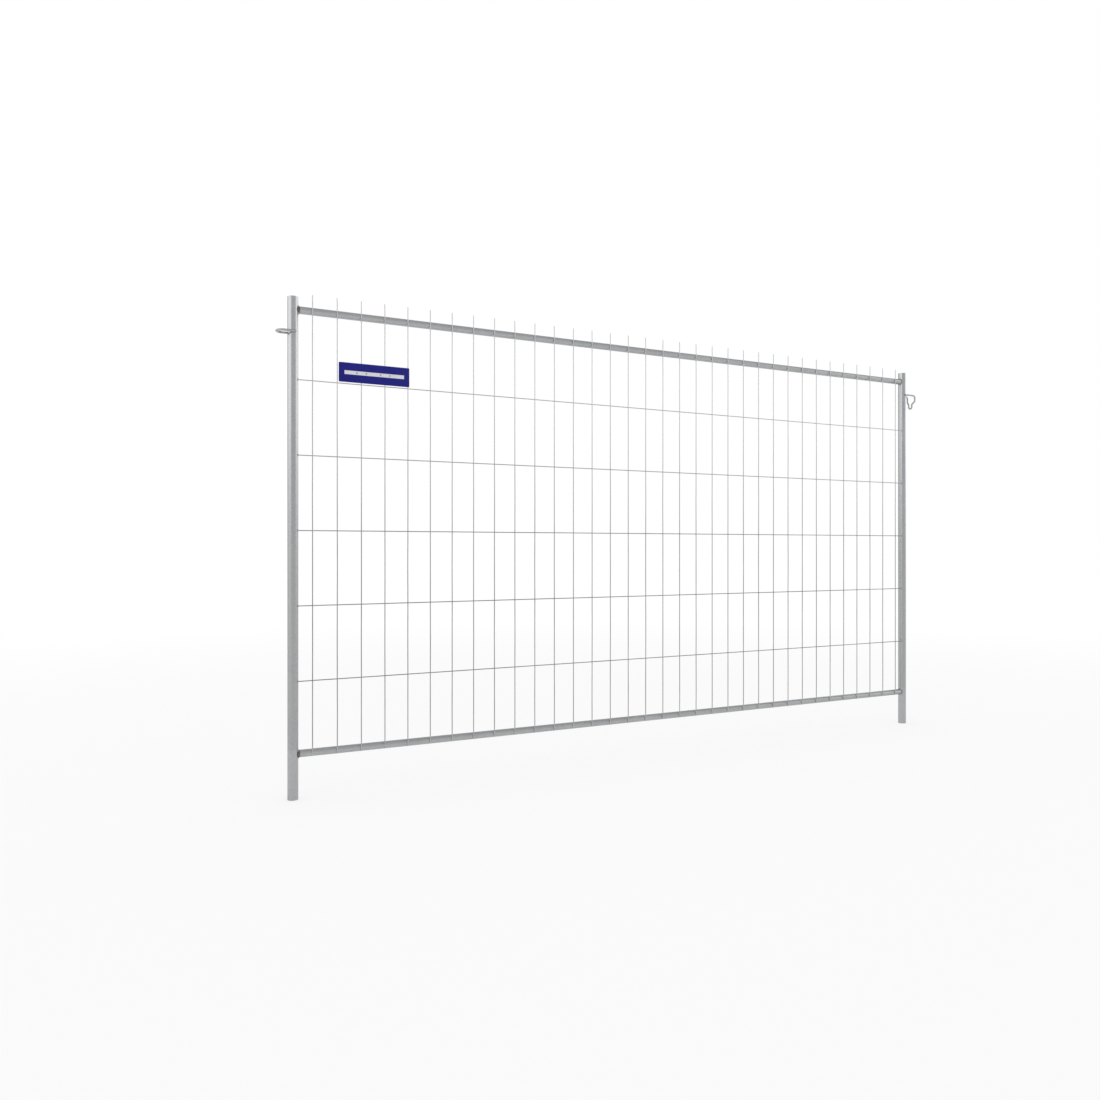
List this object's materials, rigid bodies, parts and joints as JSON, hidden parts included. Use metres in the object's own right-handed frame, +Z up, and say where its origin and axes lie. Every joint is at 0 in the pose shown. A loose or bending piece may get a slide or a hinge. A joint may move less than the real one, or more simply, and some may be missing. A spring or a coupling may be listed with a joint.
{
  "type": "temporary fence panel",
  "caption": "galvanised site fence panel: two tube posts, two tube rails, welded wire mesh in front, a coupling eye at one end, a coupling hook at the other, and a blue sign plate",
  "frame": {"origin": "middle of the left post's foot, on the ground", "axes": "+X runs along the panel from the left post to the right post, +Z up, -Y the front, where the wire mesh and the sign plate are"},
  "size_m": [3.5945, 0.061, 2.012],
  "materials": {
    "post_zinc": "hot-dip galvanised, dull with faint spangle",
    "rail_zinc": "hot-dip galvanised, dull",
    "weld_zinc": "weld metal under zinc, rough",
    "wire_zinc": "galvanised wire",
    "coupling_zinc": "galvanised round bar, scuffed",
    "plate_enamel": "deep blue enamel, satin",
    "clamp_zinc": "zinc-plated strip"
  },
  "bodies": {
    "root": {"left_post": "post_zinc", "right_post": "post_zinc", "top_rail": "rail_zinc", "bottom_rail": "rail_zinc", "top_left_weld": "weld_zinc", "top_right_weld": "weld_zinc", "bottom_left_weld": "weld_zinc", "bottom_right_weld": "weld_zinc", "wire_mesh": "wire_zinc", "coupling_eye": "coupling_zinc", "coupling_hook": "coupling_zinc", "sign_plate": "plate_enamel", "sign_clamp_1": "clamp_zinc", "sign_clamp_2": "clamp_zinc"}
  },
  "joints": []
}
